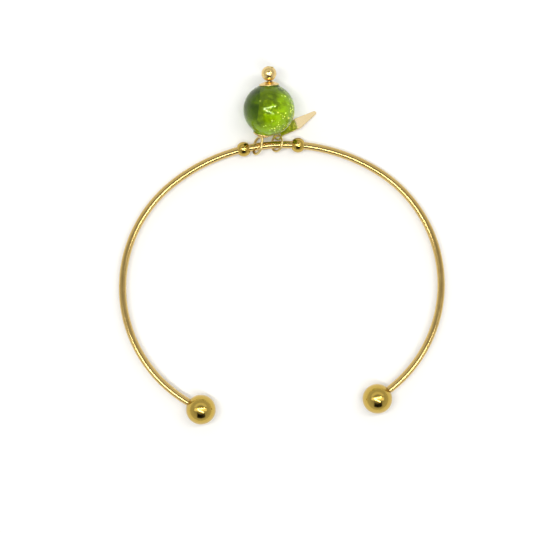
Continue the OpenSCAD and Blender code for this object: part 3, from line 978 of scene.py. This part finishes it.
def foil_tree():
    tree, given = new_tree("crumpled foil", "Geometry", FOIL)
    ball = add(tree, "GeometryNodeMeshIcoSphere", {"Radius": given["Radius"], "Subdivisions": 6})
    place = add(tree, "GeometryNodeInputPosition")
    axes = add(tree, "ShaderNodeSeparateXYZ", {"Vector": place}).outputs
    beyond = add(tree, "FunctionNodeCompare", {"A": axes["X"], "B": given["Edge"]}, operation="LESS_THAN")
    from_bore = add(tree, "ShaderNodeMath", {0: axes["X"], 1: BORE_OFFSET}, operation="ADD")
    round_bore = add(tree, "ShaderNodeCombineXYZ", {"X": from_bore, "Y": axes["Y"]})
    reach = add(tree, "ShaderNodeVectorMath", {0: round_bore}, operation="LENGTH")
    pierced = add(tree, "FunctionNodeCompare", {"A": reach, "B": given["Hole radius"]}, operation="LESS_THAN")
    gone = add(tree, "FunctionNodeBooleanMath", {0: beyond, 1: pierced}, operation="OR")
    sheet = add(tree, "GeometryNodeDeleteGeometry", {"Geometry": ball, "Selection": gone}, domain="FACE")
    seed = add(tree, "ShaderNodeCombineXYZ", {"X": given["Seed"]})
    spot = add(tree, "ShaderNodeVectorMath", {0: place, 1: seed}, operation="ADD")
    density = add(tree, "ShaderNodeMath", {0: 1.0, 1: given["Facet size"]}, operation="DIVIDE")
    cells = add(tree, "ShaderNodeTexVoronoi", {"Vector": spot, "Scale": density}).outputs
    slope = add(tree, "ShaderNodeVectorMath", {0: cells["Color"], 1: (0.5, 0.5, 0.5)}, operation="SUBTRACT")
    arm = add(tree, "ShaderNodeVectorMath", {0: spot, 1: cells["Position"]}, operation="SUBTRACT")
    tilt = add(tree, "ShaderNodeVectorMath", {0: slope, 1: arm}, operation="DOT_PRODUCT")
    lift = add(tree, "ShaderNodeMath", {0: tilt, 1: given["Facet slope"]}, operation="MULTIPLY")
    outward = add(tree, "ShaderNodeVectorMath", {0: place}, operation="NORMALIZE")
    move = add(tree, "ShaderNodeVectorMath", {0: outward, "Scale": lift}, operation="SCALE")
    crumpled = add(tree, "GeometryNodeSetPosition", {"Geometry": sheet, "Offset": move})
    return end_tree(tree, crumpled, given["Finish"])


foil_mesh = evaluated_mesh(bpy.data.meshes.new("foil"), foil_tree(), {**FOIL, "Finish": foil_green})
foil_mesh.transform(on_pin @ Matrix.Translation((BORE_OFFSET, 0, 0)))
finish_piece("foil", foil_mesh, sharp_above=60)

# %% [markdown]
# ## Floor and light
#
# The stage is a plain sheet of white card. It is no part of the bangle.

# %% Floor
FLOOR_W = 1.6

card = bpy.data.materials.new("matt white card")
card.use_nodes = True
fill(card.node_tree, card.node_tree.nodes["Principled BSDF"], {"Base Color": colour("#FAFAF8"),
                                                               "Roughness": 0.9})
half = FLOOR_W / 2
corners = [(-half, -half, 0), (half, -half, 0), (half, half, 0), (-half, half, 0)]
floor_mesh = bpy.data.meshes.new("floor")
floor_mesh.from_pydata(corners, [], [(0, 1, 2, 3)])
floor_mesh.materials.append(card)
floor = placed("floor", floor_mesh)
print(f"floor {FLOOR_W} m wide")

# %% [markdown]
# Polished gold shows the whole room, so the room is drawn in the world, by direction: pale walls, a dim
# ceiling that is darkest straight above, where the camera hangs, a bright window high at the back, and one
# dark opening towards the front. A dim ceiling also keeps the glass clear, because it has little to mirror.
# The ceiling's greys go by height, from 0 at the level to 1 straight up. A band has a centre, and the
# distances from it up to which it is whole and at which it has gone.

# %% Room
LEVEL, GREYS = (0.8, 0.8, 0.8, 1), {0.2: 0.66, 0.5: 0.58, 0.75: 0.44, 0.93: 0.3}
STRAIGHT_UP = (0.24, 0.22, 0.2, 1)
OPENING_X, OPENING_Z, OPENING_DARK = (0, 0.42, 0.5), (0.62, 0.2, 0.27), (0.006, 0.005, 0.004, 1)
WINDOW_Z, WINDOW_LIGHT = (0.64, 0.11, 0.15), (0.95, 0.95, 0.95, 1)


def band(tree, axis, centre, whole, none):
    """1 along an axis within a distance of a centre, falling to 0 at a larger distance."""
    off = add(tree, "ShaderNodeMath", {0: axis, 1: centre}, operation="SUBTRACT")
    far = add(tree, "ShaderNodeMath", {0: off}, operation="ABSOLUTE")
    return add(tree, "ShaderNodeMapRange", {"Value": far, "From Min": whole, "From Max": none,
                                            "To Min": 1.0, "To Max": 0.0})


def room():
    world = bpy.data.worlds.new("pale room with a dim ceiling")
    world.use_nodes = True
    tree = world.node_tree
    way = add(tree, "ShaderNodeTexCoord").outputs["Generated"]
    axes = add(tree, "ShaderNodeSeparateXYZ", {"Vector": way}).outputs
    height = add(tree, "ShaderNodeValToRGB", {"Fac": axes["Z"]})
    levels = height.color_ramp.elements
    for up, grey in GREYS.items():
        levels.new(up).color = (grey, grey, grey, 1)
    levels[0].color, levels[-1].color = LEVEL, STRAIGHT_UP
    front = add(tree, "ShaderNodeMath", {0: axes["Y"], 1: 0.0}, operation="LESS_THAN")
    square = add(tree, "ShaderNodeMath", {0: band(tree, axes["X"], *OPENING_X),
                                          1: band(tree, axes["Z"], *OPENING_Z)}, operation="MULTIPLY")
    opening = add(tree, "ShaderNodeMath", {0: square, 1: front}, operation="MULTIPLY")
    back = add(tree, "ShaderNodeMapRange", {"Value": axes["Y"], "From Min": 0.3, "From Max": 0.42})
    window = add(tree, "ShaderNodeMath", {0: back, 1: band(tree, axes["Z"], *WINDOW_Z)},
                 operation="MULTIPLY")
    walls = add(tree, "ShaderNodeMix", {"Factor": window, "A": height, "B": WINDOW_LIGHT}, data_type="RGBA")
    seen = add(tree, "ShaderNodeMix", {"Factor": opening, "A": walls, "B": OPENING_DARK}, data_type="RGBA")
    fill(tree, tree.nodes["Background"], {"Color": seen})
    return world


bpy.context.scene.world = room()
bpy.context.scene.view_settings.view_transform = "Standard"
print("room with its front opening")

# %% [markdown]
# The lamps are long and narrow, and each is placed by its mirror image in the glass bead. A point of the
# bead that shows a lamp has its normal halfway between the eye and the lamp, so the reflected ray, followed
# up to the lamps' height, gives the lamp's place. Two tubes that meet at one end draw the mark like a < in
# the glass and on the balls.
#
# Gold mirrors about twenty times as much as glass does, so no one lamp suits both. Light linking gives a
# lamp its own receivers. The same pair of tubes is stronger for the glass. The cuff's wire has one wide
# strip instead, which draws a thin line along its crown and shoulders. The balls, beads and caps also get
# a softbox, which draws a warm sheen round the tubes' bright lines.

# %% Lamps
LAMP_HEIGHT = 500 * MM
APEX = (-0.21, 0.03)
UPPER = (APEX, (0.28, 0.13))
LOWER = (APEX, (0.18, -0.17))
STRIP = ((-0.3, -0.12), (0.3, -0.12))
SOFTBOX = ((-0.42, 0.02), (0.42, 0.02))
TUBE_W = 20 * MM
LAMPS = {"rest": [("upper_tube", UPPER, TUBE_W, 1.05), ("lower_tube", LOWER, TUBE_W, 1.05)],
         "glass_shell": [("upper_tube_for_glass", UPPER, TUBE_W, 2.6),
                         ("lower_tube_for_glass", LOWER, TUBE_W, 2.6)],
         "cuff_wire": [("strip_for_wire", STRIP, 50 * MM, 2.2)],
         "beads": [("softbox_for_beads", SOFTBOX, 240 * MM, 1.0)]}
BEADS = {"ball_left", "ball_right", "stopper_left", "stopper_right", "finial", "cap_top", "cap_bottom"}


def mirrored_place(seen):
    """Where a lamp hangs whose image shows in the bead at this share of its radius, right and up."""
    eye = (CAMERA_AT - glass_middle).normalized()
    right = Vector((math.cos(CAMERA_TURN), math.sin(CAMERA_TURN), 0))
    right = (right - right.dot(eye) * eye).normalized()
    up = eye.cross(right)
    normal = seen[0] * right + seen[1] * up + math.sqrt(1 - seen[0] ** 2 - seen[1] ** 2) * eye
    ray = 2 * normal.dot(eye) * normal - eye
    return glass_middle + ray * (LAMP_HEIGHT - glass_middle.z) / ray.z


def hang_lamp(name, ends, width, watts, lit):
    """A rectangle of light between the places of its two ends, which lights one collection."""
    start, end = (mirrored_place(seen) for seen in ends)
    data = bpy.data.lights.new(name, "AREA")
    data.shape = "RECTANGLE"
    data.size, data.size_y = (end - start).length, width
    data.energy = watts
    lamp = placed(name, data)
    lamp.location = (start + end) / 2
    lamp.rotation_euler = (0, 0, math.atan2(end.y - start.y, end.x - start.x))
    lamp.light_linking.receiver_collection = lit
    print(f"{name}: {data.size / MM:.0f} mm long at", [round(c / MM) for c in lamp.location])


receivers = {group: bpy.data.collections.new(f"lit: {group}") for group in LAMPS}
for thing in bpy.context.scene.objects:
    if thing.type == "MESH":
        receivers.get(thing.name, receivers["rest"]).objects.link(thing)
    if thing.name in BEADS:
        receivers["beads"].objects.link(thing)
for group, lamps in LAMPS.items():
    for name, ends, width, watts in lamps:
        hang_lamp(name, ends, width, watts, receivers[group])
